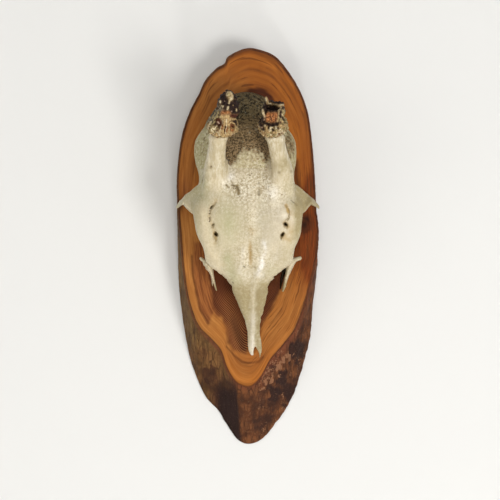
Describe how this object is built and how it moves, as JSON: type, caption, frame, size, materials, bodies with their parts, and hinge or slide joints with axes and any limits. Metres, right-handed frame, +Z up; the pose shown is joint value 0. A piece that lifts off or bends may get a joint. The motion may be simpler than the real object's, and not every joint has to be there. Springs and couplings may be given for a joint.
{
  "type": "roe deer skull",
  "caption": "Still model of a roe deer's skull cap with long nasal bones and broken antler stubs, hung nose down on an oblique oval slice of log.",
  "frame": {"origin": "on the plaque's flat back, in the plane of the wall, level with the middle of the skull", "axes": "+Y into the wall that it hangs on, +Z up along the plaque's length, towards the back of the skull, +X to the right of someone facing it"},
  "size_m": [0.0876, 0.0922, 0.2453],
  "materials": {
    "heartwood": "oiled, satin sheen, growth rings in honey and red brown",
    "bark": "dull, rough, flaking dark brown bark",
    "bone": "bleached bone, satin, ivory with pores and stains",
    "braincase_bone": "weathered bone, matt, grey green with dark specks",
    "antler": "pearled antler, tan pearls over dark brown crevices"
  },
  "bodies": {
    "root": {"plaque_core": "heartwood", "plaque_bark": "bark", "frontal_left": "bone", "frontal_right": "bone", "parietal_bone": "braincase_bone", "temporal_left": "braincase_bone", "temporal_right": "braincase_bone", "occipital_bone": "braincase_bone", "nasal_left": "bone", "nasal_right": "bone", "lacrimal_left": "bone", "lacrimal_right": "bone", "pedicle_left": "bone", "pedicle_right": "bone", "antler_left": "antler", "antler_right": "antler"}
  },
  "joints": []
}
